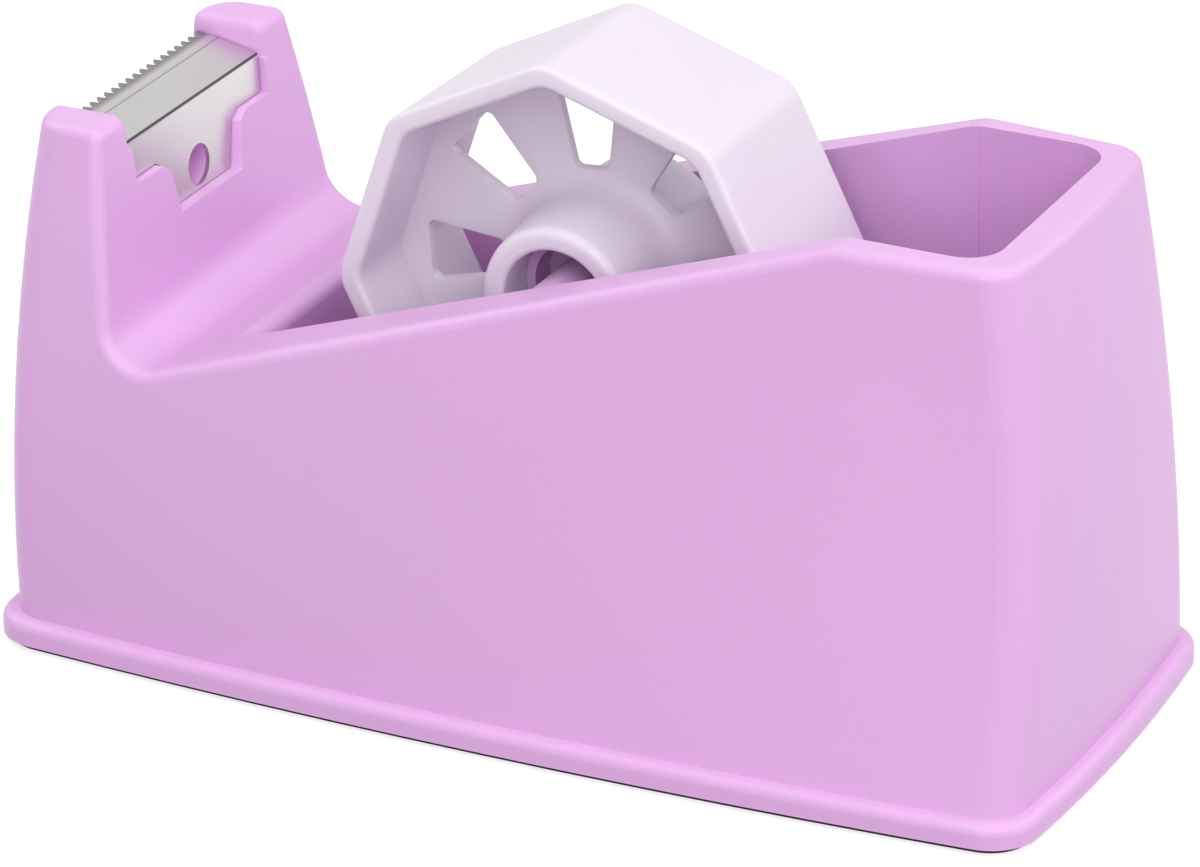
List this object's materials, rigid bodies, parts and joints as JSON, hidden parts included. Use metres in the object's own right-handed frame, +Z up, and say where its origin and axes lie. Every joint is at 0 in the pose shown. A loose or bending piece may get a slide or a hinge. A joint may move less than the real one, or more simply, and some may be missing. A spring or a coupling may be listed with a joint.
{
  "type": "desk tape dispenser with pen bin",
  "caption": "Weighted desk tape dispenser with an octagonal lift-out core wheel, a toothed cutter blade between two horns and an open pen bin behind a sloping well.",
  "frame": {"origin": "on the resting surface, under the middle of the base", "axes": "+Z up, +X from the cutter blade towards the pen bin, +Y across the body along the wheel's axle"},
  "size_m": [0.181, 0.0886, 0.105],
  "materials": {
    "housing_plastic": "smooth satin-gloss moulded ABS",
    "cover_plastic": "fine matt",
    "pad_foam": "matt non-slip foam",
    "ballast_iron": "as cast",
    "screw_steel": "zinc-plated",
    "blade_steel": "bright rolled strip",
    "wheel_plastic": "smooth white plastic",
    "axle_plastic": "smooth moulded plastic"
  },
  "bodies": {
    "dispenser": {"body_shell": "housing_plastic", "base_plate": "cover_plastic", "foam_pad": "pad_foam", "ballast_plate": "ballast_iron", "cover_screws": "screw_steel", "cutter_blade": "blade_steel"},
    "spindle": {"wheel_axle": "axle_plastic"},
    "wheel": {"tape_wheel": "wheel_plastic"}
  },
  "joints": [
    {"name": "axle_lift", "type": "slide", "parent": "dispenser", "child": "spindle", "axis": [0, 0, 1], "range_m": [0, 0.06]},
    {"name": "wheel_spin", "type": "hinge", "parent": "spindle", "child": "wheel", "pos_m": [0.0008, 0, 0.06685], "axis": [0, 1, 0], "continuous": true}
  ]
}
